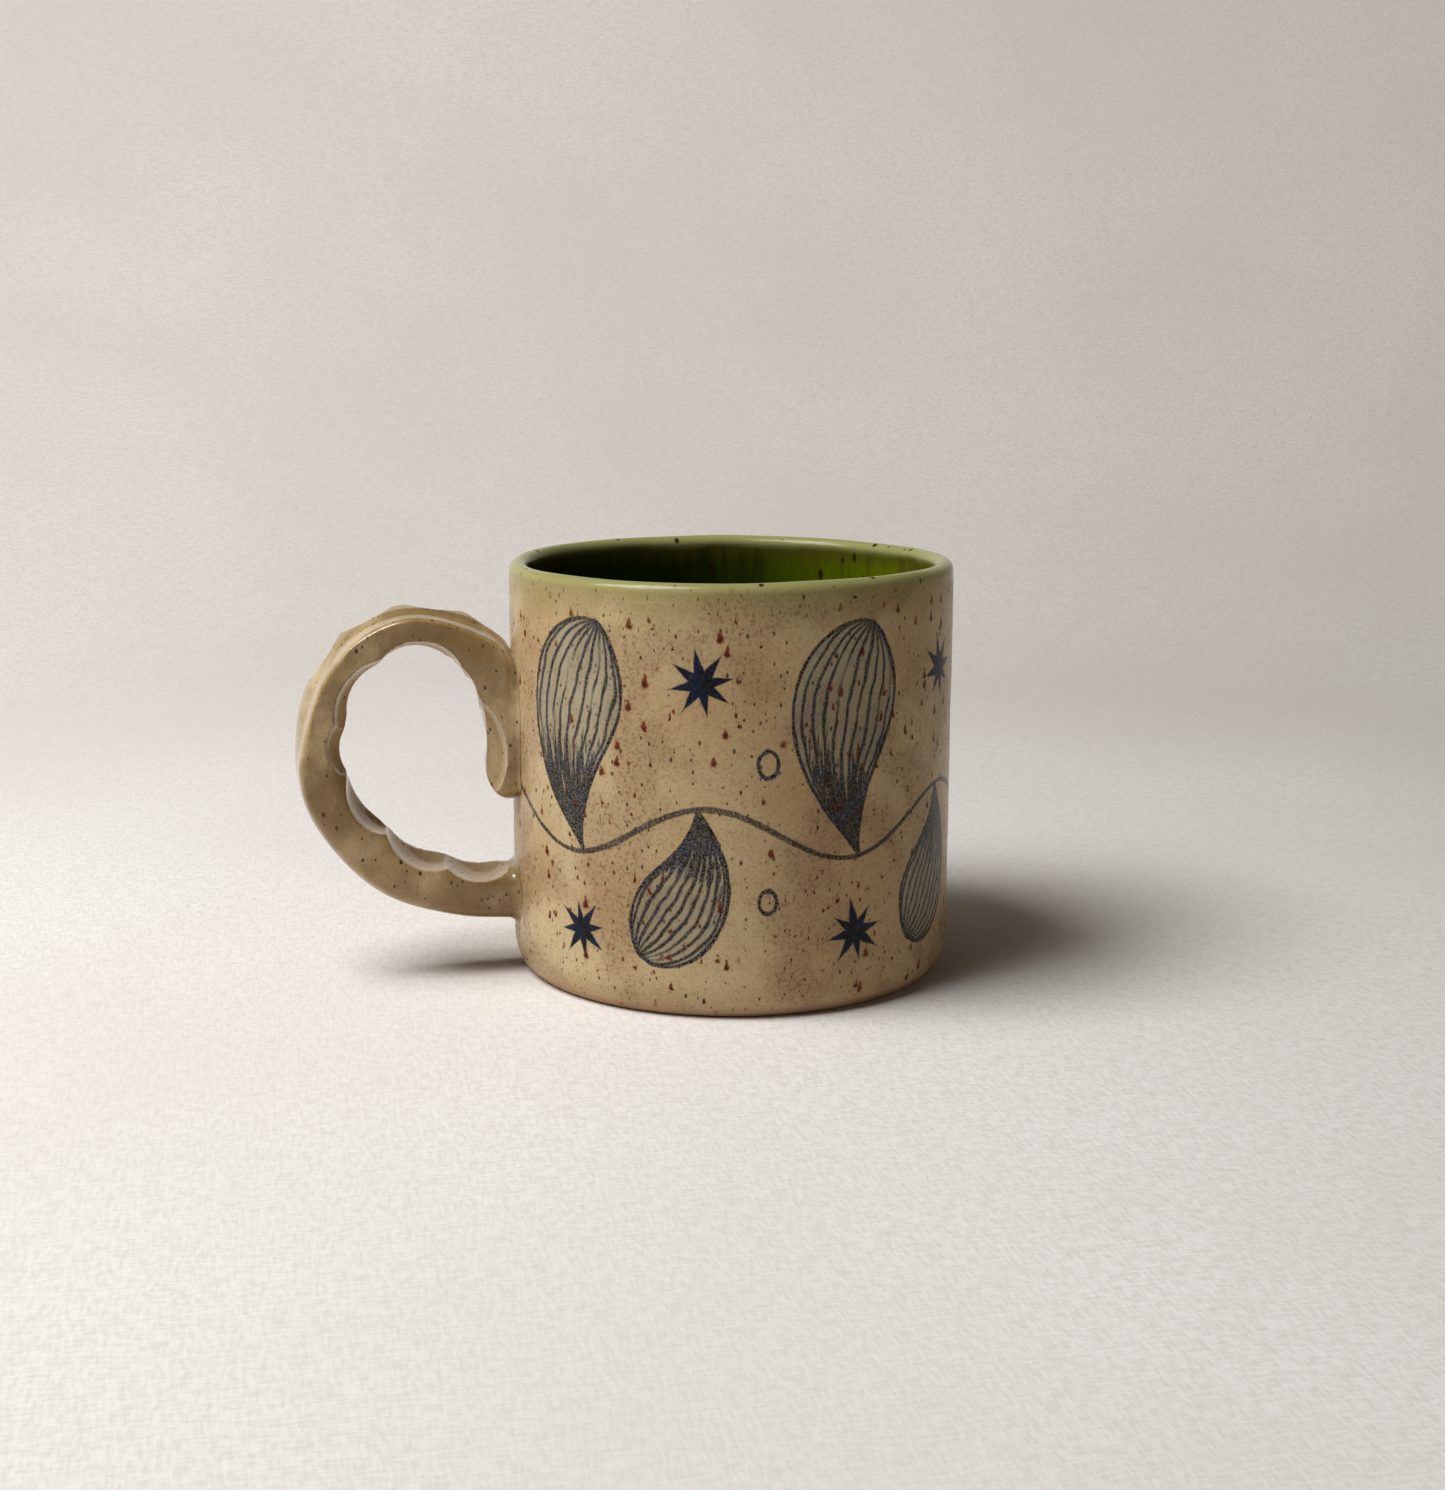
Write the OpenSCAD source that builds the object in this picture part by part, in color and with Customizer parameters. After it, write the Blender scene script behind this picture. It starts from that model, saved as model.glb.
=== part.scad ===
// Hand-built stoneware mug: a straight cylinder with a carved loop handle.
// Origin: the middle of the foot's underside. +Z is up and the handle points along -X.

/* [Body] */
// Outside diameter of the finished mug, glaze included
body_d = 85; // [82:1:90]
// Height from the table to the top of the lip
body_h = 79; // [76:1:86]
// Thickness of the rolled clay wall
wall_t = 3; // [2.6:0.1:3.4]
// Thickness of the clay disc under the mug
base_t = 4.5; // [4:0.5:5.5]
// Diameter of the flat that stands on the table
foot_d = 80.4; // [79:0.2:81]
// Height over which the foot's edge curves out to the wall
foot_curve_h = 6.5; // [6:0.5:8]
// Radius of the clay coil pressed into the inside corner
coil_r = 3.5; // [2.5:0.5:5]

/* [Glaze] */
// Thickness of each coat of glaze
glaze_t = 0.3; // [0.2:0.05:0.4]
// Height of the bare clay band left above the table
bare_h = 1.6; // [1.2:0.2:3]
// How far the green lining comes down outside the lip
lip_overlap = 1.5; // [1:0.5:4]

/* [Handle] */
// Width of the handle, side to side
handle_w = 11.8; // [11:0.2:13]
// How square the handle's section is, where 2 is an ellipse
handle_squareness = 3.2; // [2.4:0.2:4]
// Depth of the carved scoops, as a share of the usual depth
scoop_depth = 1; // [0.4:0.1:1.2]

/* [Joins] */
// Thickness of the soft slip clay between the wall and the handle
slip_t = 0.8; // [0.6:0.1:1]
// How far the slip spreads past the handle's edge
slip_spread = 1.1; // [0.8:0.1:1.6]

/* [Hidden] */

$fn = 128;
slack = 1;
body_r = body_d / 2;
clay_r = body_r - glaze_t;
inside_r = clay_r - wall_t;
foot_r = foot_d / 2;
lip_r = wall_t / 2;
lip_z = body_h - glaze_t - lip_r;
lip_mid_r = clay_r - lip_r;
join_r = clay_r + slip_t;

// Radius of the clay's outside at height z: the foot's edge curves out as a parabola.
function clay_edge(z) =
    clay_r - (clay_r - foot_r) * pow(max(0, 1 - z / foot_curve_h), 2);

// Points of the outside from one height to another, pushed out by a coat's thickness.
function edge_points(start, stop, coat = 0) =
    [for (i = [0 : 8]) let (z = start + (stop - start) * i / 8) [clay_edge(z) + coat, z]];

// Points of an arc about a centre.
function arc_points(centre, r, from, to, steps = 12) =
    [for (i = [0 : steps])
        let (a = from + (to - from) * i / steps)
        centre + r * [cos(a), sin(a)]];

coil_centre = [inside_r - coil_r, base_t + coil_r];
lip_centre = [lip_mid_r, lip_z];

clay = [0.80, 0.72, 0.57];
slip = [0.74, 0.66, 0.50];

module base_disc() {
    color(clay)
        rotate_extrude()
            polygon(concat([[0, base_t], [0, 0]], edge_points(0, base_t)));
}

// The wall is a rolled slab that stands on the disc, with a half-round lip.
module wall() {
    color(clay)
        rotate_extrude()
            polygon(concat(
                [[inside_r, base_t]],
                edge_points(base_t, foot_curve_h),
                arc_points(lip_centre, lip_r, 0, 180)
            ));
}

module seam_coil() {
    color(clay * 0.95)
        rotate_extrude()
            polygon(concat([[inside_r, base_t]], arc_points(coil_centre, coil_r, 0, -90)));
}

// The green lining covers the floor, the coil and the wall, and goes over the lip.
module liner_glaze() {
    color([0.42, 0.55, 0.18])
        rotate_extrude()
            polygon(concat(
                [[0, base_t]],
                arc_points(coil_centre, coil_r, -90, 0),
                arc_points(lip_centre, lip_r, 180, 0),
                [[clay_r, lip_z - lip_overlap], [body_r, lip_z - lip_overlap]],
                arc_points(lip_centre, lip_r + glaze_t, 0, 180),
                arc_points(coil_centre, coil_r - glaze_t, 0, -90),
                [[0, base_t + glaze_t]]
            ));
}

// The clear coat starts above the bare foot and has a window at each end of the handle.
module body_glaze() {
    color([0.86, 0.78, 0.60])
        difference() {
            rotate_extrude()
                polygon(concat(
                    edge_points(bare_h, foot_curve_h, glaze_t),
                    [[body_r, lip_z - lip_overlap], [clay_r, lip_z - lip_overlap]],
                    edge_points(foot_curve_h, bare_h)
                ));
            join_outline(lower_low, lower_high);
            join_outline(upper_low, upper_high);
        }
}

// A prism that points along -X, with round ends, as wide as the handle and its slip.
join_w = handle_w + 2 * slip_spread;
module join_outline(low, high) {
    rotate([0, -90, 0])
        linear_extrude(height = body_r + slack + slip_t)
            union() {
                translate([low + join_w / 2, -join_w / 2])
                    square([high - low - join_w, join_w]);
                translate([low + join_w / 2, 0])
                    circle(d = join_w);
                translate([high - join_w / 2, 0])
                    circle(d = join_w);
            }
}

// The slip is a thin pad that fits the wall's curve.
module slip_pad(low, high) {
    color(slip)
        intersection() {
            difference() {
                cylinder(r = join_r, h = body_h);
                translate([0, 0, -slack])
                    cylinder(r = clay_r, h = body_h + 2 * slack);
            }
            join_outline(low, high);
        }
}

lower_low = 8.4;
lower_high = 23.6;
upper_low = 32.4;
upper_high = 66.4;
module lower_join() slip_pad(lower_low, lower_high);
module upper_join() slip_pad(upper_low, upper_high);

// The coil's middle line: how far out from the wall, how high, and how thick it is there.
// It leaves the wall low down, loops over and runs down the wall again as a flat tail.
HANDLE_KNOTS = [
    [-2.5, 15.2, 9.5], [2, 15.3, 9.5], [11, 16.5, 9.9], [20, 19.3, 9.9], [27.5, 24.8, 9.5],
    [33.2, 31.8, 9.3], [36.4, 40, 9.1], [36.3, 48.6, 8.4], [33.6, 56.8, 8],
    [28, 63.6, 8], [20, 67.1, 7.8], [11.8, 65.8, 8.5], [5.4, 61.2, 10.4], [2.4, 52.8, 7.4],
    [1.9, 44.6, 5.9], [1.9, 38.6, 6.1], [0.9, 34.6, 3.6]
];
last_knot = len(HANDLE_KNOTS) - 1;

// The carved scoops: where along the knots, how far to the front (-) or back (+),
// the tool's radius, its depth, and whether it is on the finger side (1) or outside (-1).
SCOOPS = [
    [1.55, -4, 8, 2.3, 1], [2.85, -4, 8.5, 2.5, 1], [4.1, -3, 7.5, 1.9, 1],
    [5.2, -4, 7.5, 2.3, 1], [6.6, -4, 7, 2.1, 1], [7.8, -3, 8, 2, 1], [9, -4, 7, 1.9, 1],
    [10.4, -4, 8, 2.2, 1], [11.7, -3, 8, 2.1, 1], [13, -4, 7.5, 1.8, 1],
    [14.6, -5, 8, 2.2, 1], [8.3, 3, 15, 1, -1], [9.6, 3, 12, 1, -1], [10.8, 3, 11, 1.1, -1],
    [11.8, 3, 8, 1.2, -1]
];
// How much longer each scoop is across the handle than along it.
scoop_stretch = 2;

// A smooth curve through the knots: the Catmull-Rom cubic between two of them.
function knot(i) = HANDLE_KNOTS[max(0, min(last_knot, i))];
function along(u) =
    let (
        i = min(last_knot - 1, floor(u)),
        f = u - i,
        a = knot(i - 1),
        b = knot(i),
        c = knot(i + 1),
        d = knot(i + 2)
    )
    0.5 * (2 * b + (c - a) * f + (2 * a - 5 * b + 4 * c - d) * f * f
        + (3 * b - a - 3 * c + d) * f * f * f);

// The middle line in space, and the direction from it towards the fingers.
function middle(u) = let (p = along(u)) [-body_r - p[0], 0, p[1]];
function inward(u) =
    let (
        e = 0.01,
        d = middle(min(last_knot, u + e)) - middle(max(0, u - e)),
        n = norm(d)
    )
    [d[2], 0, -d[0]] / n;

// The tail's tip is rounded: its section shrinks over the last half knot.
tip = 0.5;
tip_blunt = 0.55;
tip_bulge = 0.5;
function tip_round(u) = sqrt(1 - pow(max(0, u - last_knot + tip) / tip_blunt, 2));

// A point of the handle's skin: a rounded box section about the middle line.
function signed_power(v, p) = sign(v) * pow(abs(v), p);
function skin(u, turn, coat) =
    let (
        small = tip_round(u),
        half_t = small * along(u)[2] / 2 + coat,
        half_w = small * handle_w / 2 + coat,
        n = inward(u),
        forward = [-n[2], 0, n[0]],
        p = 2 / handle_squareness
    )
    middle(u)
        + forward * coat * (u == 0 ? -1 : 1 - small)
        + n * half_t * signed_power(cos(turn), p)
        + [0, 1, 0] * half_w * signed_power(sin(turn), p);

// A stretched ball pressed in: a point inside it moves towards the middle line, to the
// ball's far side. Squeezing space across the handle makes the stretched ball a sphere.
function squeezed(v) = [v[0], v[1] / scoop_stretch, v[2]];
function ball_centre(s) =
    middle(s[0]) + [0, s[1], 0]
        + inward(s[0]) * s[4] * (along(s[0])[2] / 2 + s[2] - s[3] * scoop_depth);
function pressed(p, way, s, coat) =
    let (
        from = squeezed(p - ball_centre(s)),
        w = squeezed(way),
        a = w * w,
        b = from * w,
        r = s[2] - coat,
        inside = r * r - from * from
    )
    inside > 0 ? p + way * (sqrt(b * b + a * inside) - b) / a : p;
function carved(p, way, coat, i = 0) =
    i == len(SCOOPS) ? p : carved(pressed(p, way, SCOOPS[i], coat), way, coat, i + 1);

// The whole handle as one closed skin. A coat makes it that much fatter all round.
sides = 18;
rings = 4 * last_knot;
module handle_body(coat = 0) {
    skin_points = [
        for (k = [0 : rings], j = [0 : sides - 1])
            let (
                u = k / 4,
                p = skin(u, 360 * (j + 0.5) / sides, coat),
                way = middle(u) - p
            )
            carved(p, way / norm(way), coat)
    ];
    start_mid = middle(0) + [coat, 0, 0];
    end_mid = middle(last_knot) - [0, 0, 2 * coat + tip_bulge];
    last_ring = rings * sides;
    polyhedron(
        points = concat(skin_points, [start_mid, end_mid]),
        faces = concat(
            [for (k = [0 : rings - 1], j = [0 : sides - 1])
                let (a = k * sides + j, b = k * sides + (j + 1) % sides)
                [a, b + sides, b]],
            [for (k = [0 : rings - 1], j = [0 : sides - 1])
                let (a = k * sides + j, b = k * sides + (j + 1) % sides)
                [a, a + sides, b + sides]],
            [for (j = [0 : sides - 1])
                [j, (j + 1) % sides, len(skin_points)]],
            [for (j = [0 : sides - 1])
                [last_ring + (j + 1) % sides, last_ring + j, len(skin_points) + 1]]
        )
    );
}

// The handle ends on the slip pads, so the space of the wall and the pads is cut away.
module wall_space() {
    translate([0, 0, -slack])
        cylinder(r = join_r, h = body_h + 2 * slack);
}

module handle() {
    color(clay)
        difference() {
            handle_body();
            wall_space();
        }
}

module handle_glaze() {
    color([0.88, 0.80, 0.64])
        difference() {
            handle_body(glaze_t);
            handle_body();
            wall_space();
        }
}

base_disc();
wall();
seam_coil();
lower_join();
upper_join();
handle();
liner_glaze();
body_glaze();
handle_glaze();
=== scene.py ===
from math import cos, pi, radians, sin

import bpy
import numpy as np
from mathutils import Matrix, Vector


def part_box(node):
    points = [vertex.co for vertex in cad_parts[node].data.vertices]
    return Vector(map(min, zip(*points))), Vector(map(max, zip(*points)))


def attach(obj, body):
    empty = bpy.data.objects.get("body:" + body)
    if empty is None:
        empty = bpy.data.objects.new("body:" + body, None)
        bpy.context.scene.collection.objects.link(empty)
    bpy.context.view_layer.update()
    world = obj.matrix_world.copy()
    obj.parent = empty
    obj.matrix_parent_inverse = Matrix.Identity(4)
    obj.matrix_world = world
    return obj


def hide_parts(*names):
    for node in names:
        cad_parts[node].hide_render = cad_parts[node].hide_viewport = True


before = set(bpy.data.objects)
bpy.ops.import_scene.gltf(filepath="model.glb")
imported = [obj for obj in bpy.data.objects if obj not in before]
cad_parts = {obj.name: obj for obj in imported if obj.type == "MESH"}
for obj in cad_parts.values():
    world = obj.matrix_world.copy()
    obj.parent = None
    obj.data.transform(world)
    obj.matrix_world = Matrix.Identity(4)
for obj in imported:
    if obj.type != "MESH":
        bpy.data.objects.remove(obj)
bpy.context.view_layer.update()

# ---------------------------------------------------------------------------------------
# Table and view. The mug stands on a pale seamless sweep: a flat round table whose edge
# curves up into a wall. It is seen from a little above, turned towards the handle's side.

MM = 0.001
bpy.context.scene.view_settings.view_transform = "Standard"
bpy.context.scene.view_settings.gamma = 0.86

# Where the eye is, in mm and degrees, which way it looks, how far down, and its lens in mm.
eye_away, eye_up, eye_side = 421.2 * MM, 126.4 * MM, radians(-12)
eye_aim, eye_dip, eye_lens = radians(-11.78), radians(11.3), 53.15
camera_data = bpy.data.cameras.new("camera")
camera_data.lens = eye_lens
camera = bpy.data.objects.new("camera", camera_data)
camera.location = (eye_away * sin(eye_side), -eye_away * cos(eye_side), eye_up)
camera.rotation_euler = (pi / 2 - eye_dip, 0, eye_aim)
bpy.context.collection.objects.link(camera)
bpy.context.scene.camera = camera


def pigment(red, green, blue):
    """A colour as a sample card gives it, 0 to 255 a channel, turned into the light it reflects."""
    card = np.array([red, green, blue]) / 255
    light = np.where(card <= 0.04045, card / 12.92, ((card + 0.055) / 1.055) ** 2.4)
    return (*light.tolist(), 1.0)


class Value:
    """A socket of a material's tree. Python's arithmetic on it adds Math nodes."""

    def __init__(self, recipe, socket):
        self.recipe = recipe
        self.socket = socket

    def math(self, operation, *terms):
        return self.recipe.node("ShaderNodeMath", {"operation": operation}, dict(enumerate(terms)))

    def __add__(self, other):
        return self.math("ADD", self, other)

    def __radd__(self, other):
        return self.math("ADD", other, self)

    def __sub__(self, other):
        return self.math("SUBTRACT", self, other)

    def __rsub__(self, other):
        return self.math("SUBTRACT", other, self)

    def __mul__(self, other):
        return self.math("MULTIPLY", self, other)

    def __rmul__(self, other):
        return self.math("MULTIPLY", other, self)

    def __truediv__(self, other):
        return self.math("DIVIDE", self, other)

    def __abs__(self):
        return self.math("ABSOLUTE", self)

    def angle_from(self, other):
        """The angle whose tangent is this value over the other."""
        return self.math("ARCTAN2", self, other)

    def floor(self):
        return self.math("FLOOR", self)

    def nearest_whole(self):
        return self.math("ROUND", self)

    def root(self):
        return self.math("SQRT", self)

    def sine(self):
        return self.math("SINE", self)

    def cosine(self):
        return self.math("COSINE", self)

    def largest(self, other):
        return self.math("MAXIMUM", self, other)

    def smallest(self, other):
        return self.math("MINIMUM", self, other)


class Recipe:
    """One material, mixed node by node."""

    def __init__(self, name):
        self.material = bpy.data.materials.new(name)
        self.material.use_nodes = True
        self.tree = self.material.node_tree
        self.tree.nodes.clear()

    def stored(self, name, out="Vector"):
        """What the mesh stores under a name: a Vector, or one number as Fac."""
        return self.node("ShaderNodeAttribute", {"attribute_name": name}, out=out)

    def node(self, kind, settings=(), sockets=(), out=0):
        """Adds a node, gives it its settings and then its sockets' values or links."""
        made = self.tree.nodes.new(kind)
        for name, value in dict(settings).items():
            setattr(made, name, value)
        for name, value in dict(sockets).items():
            if isinstance(value, Value):
                self.tree.links.new(value.socket, made.inputs[name])
            else:
                made.inputs[name].default_value = value
        return Value(self, made.outputs[out])

    def place(self, stretch=(1, 1, 1)):
        """Object coordinates in millimetres, squeezed along each axis by stretch."""
        coordinates = self.node("ShaderNodeTexCoord", out="Object")
        scale = tuple(s / MM for s in stretch)
        return self.node(
            "ShaderNodeVectorMath", {"operation": "MULTIPLY"}, {0: coordinates, 1: scale}
        )

    def vector(self, x, y, z):
        return self.node("ShaderNodeCombineXYZ", (), {0: x, 1: y, 2: z})

    def parts(self, vector):
        return [self.node("ShaderNodeSeparateXYZ", (), {0: vector}, out=i) for i in range(3)]

    def noise(self, where, per_mm, detail=2.0, roughness=0.5):
        """Cloudy noise about 0.5, with this many waves a millimetre."""
        sockets = {"Vector": where, "Scale": per_mm, "Detail": detail, "Roughness": roughness}
        return self.node("ShaderNodeTexNoise", (), sockets)

    def rise(self, value, low, high):
        """0 at low, 1 at high and smooth between; high may be the smaller."""
        return self.node(
            "ShaderNodeMapRange",
            {"interpolation_type": "SMOOTHSTEP"},
            {"Value": value, "From Min": low, "From Max": high},
        )

    def mix(self, share, first, second):
        """Goes from the first colour to the second as share goes from 0 to 1."""
        return self.node(
            "ShaderNodeMix", {"data_type": "RGBA"}, {0: share, 6: first, 7: second}, out=2
        )

    def finish(self, colour, roughness, bumps=None, bump_height=0.02, constants=()):
        """Ends the recipe in one shader. bumps is a height from 0 to 1, bump_height in mm."""
        sockets = {"Base Color": colour, "Roughness": roughness, **dict(constants)}
        if bumps is not None:
            sockets["Normal"] = self.node(
                "ShaderNodeBump", (), {"Height": bumps, "Distance": bump_height * MM}
            )
        shader = self.node("ShaderNodeBsdfPrincipled", (), sockets)
        ending = self.tree.nodes.new("ShaderNodeOutputMaterial")
        self.tree.links.new(shader.socket, ending.inputs["Surface"])
        return self.material


def skin(name, grid, joined_ends=False, poles=False):
    """A smooth closed mesh from a grid of points in metres, one row after another.

    Each row is a ring that closes on itself. The last row meets the first (joined_ends), or
    the first and last rows are closed by a fan to their middle point (poles). Faces are
    turned round if the volume they enclose comes out negative.
    """
    rows, columns = grid.shape[:2]
    points = grid.reshape(-1, 3)
    across = np.arange(columns)
    after = (across + 1) % columns
    down = np.arange(rows if joined_ends else rows - 1)[:, None]
    below = (down + 1) % rows
    corners = [down * columns + across, down * columns + after]
    corners += [below * columns + after, below * columns + across]
    faces = np.stack(corners, -1).reshape(-1, 4).tolist()
    if poles:
        points = np.vstack([points, grid[0].mean(0), grid[-1].mean(0)])
        first, last = len(points) - 2, len(points) - 1
        end = (rows - 1) * columns
        faces += np.stack([after, across, np.full(columns, first)], -1).tolist()
        faces += np.stack([end + across, end + after, np.full(columns, last)], -1).tolist()
    volume = sum(
        np.einsum("ij,ij->", points[a], np.cross(points[b], points[c]))
        for a, b, c in (
            np.array([[f[0], f[i], f[i + 1]] for f in faces if len(f) > i + 1]).T
            for i in (1, 2)
        )
    )
    if volume < 0:
        faces = [f[::-1] for f in faces]
    mesh = bpy.data.meshes.new(name)
    mesh.from_pydata(points.tolist(), [], faces)
    mesh.polygons.foreach_set("use_smooth", np.ones(len(mesh.polygons), bool))
    mesh.update()
    made = bpy.data.objects.new(name, mesh)
    bpy.context.collection.objects.link(made)
    return made


def turned(profile, columns):
    """A surface of revolution: each (radius, height) of the profile, in mm, becomes a ring.

    Columns start at the back, +Y, and run by way of -X, -Y and +X: angle 0 is at the front.
    A point that repeats the one before it is left out.
    """
    angle = np.linspace(-pi, pi, columns, endpoint=False)
    profile = np.asarray(profile, float)
    steps = np.hypot(*np.diff(profile, axis=0).T)
    radius, height = profile[np.insert(steps > 1e-6, 0, True)].T
    x = radius[:, None] * np.sin(angle)
    y = -radius[:, None] * np.cos(angle)
    return np.stack([x, y, np.broadcast_to(height[:, None], x.shape)], -1)


def arc(centre, radius, start, stop, steps):
    """Points of a circle's arc from one angle to another, in degrees."""
    a = np.radians(np.linspace(start, stop, steps))
    return np.stack([centre[0] + radius * np.cos(a), centre[1] + radius * np.sin(a)], -1)


sweep_profile = np.vstack([
    [(0.01, -0.1), (300, -0.1)], arc((560, 460), 460.1, -90, 0, 40),
    [(1060, 460), (1060, -40), (0.01, -40)],
])
sweep_grid = turned(sweep_profile, 128) + (-52, -244, 0)
sweep = skin("table_sweep", sweep_grid * MM, poles=True)
linen = Recipe("linen")
weave = linen.noise(linen.place((1.0, 0.25, 1)), 1.4, 2) * 0.5
weave = weave + linen.noise(linen.place((0.25, 1.0, 1)), 1.4, 2) * 0.5
drift = linen.noise(linen.place(), 0.006, 3)
linen_pale = linen.mix(linen.rise(drift, 0.3, 0.7), pigment(217, 208, 197), pigment(224, 216, 206))
linen_colour = linen.mix(linen.rise(weave, 0.35, 0.7), linen_pale, pigment(209, 200, 188))
sweep.data.materials.append(linen.finish(linen_colour, 0.95, weave, 0.12))


def lamp(name, width, height, watts, place, aim, tint):
    """A soft rectangular lamp, placed and aimed in millimetres."""
    data = bpy.data.lights.new(name, "AREA")
    data.shape = "RECTANGLE"
    data.size, data.size_y = width * MM, height * MM
    data.energy = watts
    data.color = tint
    made = bpy.data.objects.new(name, data)
    place, aim = np.array(place) * MM, np.array(aim) * MM
    made.location = place
    away = place - aim
    flat = np.hypot(away[0], away[1])
    made.rotation_euler = (np.arctan2(flat, away[2]), 0, np.arctan2(away[0], -away[1]))
    bpy.context.collection.objects.link(made)


lamp("window", 430, 480, 9.1, (-410, -98, 700), (0, 0, 40), (0.94, 0.99, 1.08))
lamp("wash", 500, 300, 1.7, (-250, 250, 700), (-60, 900, 500), (0.97, 0.99, 1.04))
world = bpy.data.worlds.new("world")
world.use_nodes = True
room = world.node_tree.nodes["Background"].inputs
room["Color"].default_value, room["Strength"].default_value = (1.0, 0.9, 0.76, 1), 0.042
bpy.context.scene.world = world

# ---------------------------------------------------------------------------------------
# Clay body. A rolled slab stands on a disc, with a thin coil worked into the inside
# corner. The clay is buff stoneware full of iron, bare only under the foot; these pieces
# are hidden elsewhere by the glazes over them.

body_low, body_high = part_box("body_glaze")
body_r = body_high[0] / MM
glaze_t = 0.3
clay_r = body_r - glaze_t
wall_t = 3.0
inside_r = clay_r - wall_t
body_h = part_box("liner_glaze")[1][2] / MM
base_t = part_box("base_disc")[1][2] / MM
foot_r = 40.2
foot_curve_h = 6.5
coil_r = 3.5
lip_r = wall_t / 2
lip_z = body_h - glaze_t - lip_r
lip_mid_r = clay_r - lip_r
bare_h = body_low[2] / MM
seam_z = body_high[2] / MM


def clay_edge(z):
    """Radius of the clay's outside at height z: the foot's edge curves out as a parabola."""
    return clay_r - (clay_r - foot_r) * np.maximum(0, 1 - z / foot_curve_h) ** 2


def by_hand(grid):
    """Moves a turned surface by what a hand leaves: a slow ripple of the wall in and out,
    and a lip that isn't quite level. Sines of the angle and the height, under 0.2 mm."""
    x, y, z = np.moveaxis(grid, -1, 0)
    angle = np.arctan2(x, -y)
    ripple = 0.07 * np.sin(3 * angle + 0.07 * z) + 0.05 * np.sin(7 * angle - 0.11 * z + 1)
    ripple += 0.03 * np.sin(13 * angle + 0.23 * z + 2) + 0.03 * np.sin(0.42 * z + 2 * angle)
    out = 1 + ripple * np.clip(z / 12, 0, 1) / np.maximum(np.hypot(x, y), 10)
    lift = 0.14 * np.sin(2 * angle + 0.6) + 0.06 * np.sin(5 * angle) + 0.03 * np.sin(11 * angle)
    raised = z + lift * np.clip((z - 45) / 34, 0, 1) ** 2
    return np.stack([x * out, y * out, raised], -1)


disc_edge_z = np.linspace(0.7, base_t, 14)
disc_profile = np.vstack([
    [(0.01, 0)],
    np.stack([np.linspace(2, foot_r - 0.8, 12), np.zeros(12)], -1),
    arc((foot_r - 0.62, 0.62), 0.62, -80, -12, 6),
    np.stack([clay_edge(disc_edge_z), disc_edge_z], -1),
])
base_disc = skin("base_disc_clay", by_hand(turned(disc_profile, 256)) * MM, poles=True)

slab_edge_z = np.linspace(base_t, foot_curve_h, 6)
slab_profile = np.vstack([
    [(inside_r, base_t), (inside_r, lip_z)],
    arc((lip_mid_r, lip_z), lip_r, 180, 0, 12),
    np.stack([clay_edge(slab_edge_z[::-1]), slab_edge_z[::-1]], -1),
])
slab_profile[:, 0] += np.where(slab_profile[:, 0] > lip_mid_r, -0.2, 0.1)
wall = skin("wall_slab", by_hand(turned(slab_profile, 192)) * MM, joined_ends=True)

coil_profile = np.vstack([
    [(inside_r, base_t)],
    arc((inside_r - coil_r, base_t + coil_r), coil_r + 0.05, 0, -90, 10),
])
seam_coil = skin("corner_coil", turned(coil_profile, 128) * MM, joined_ends=True)


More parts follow.
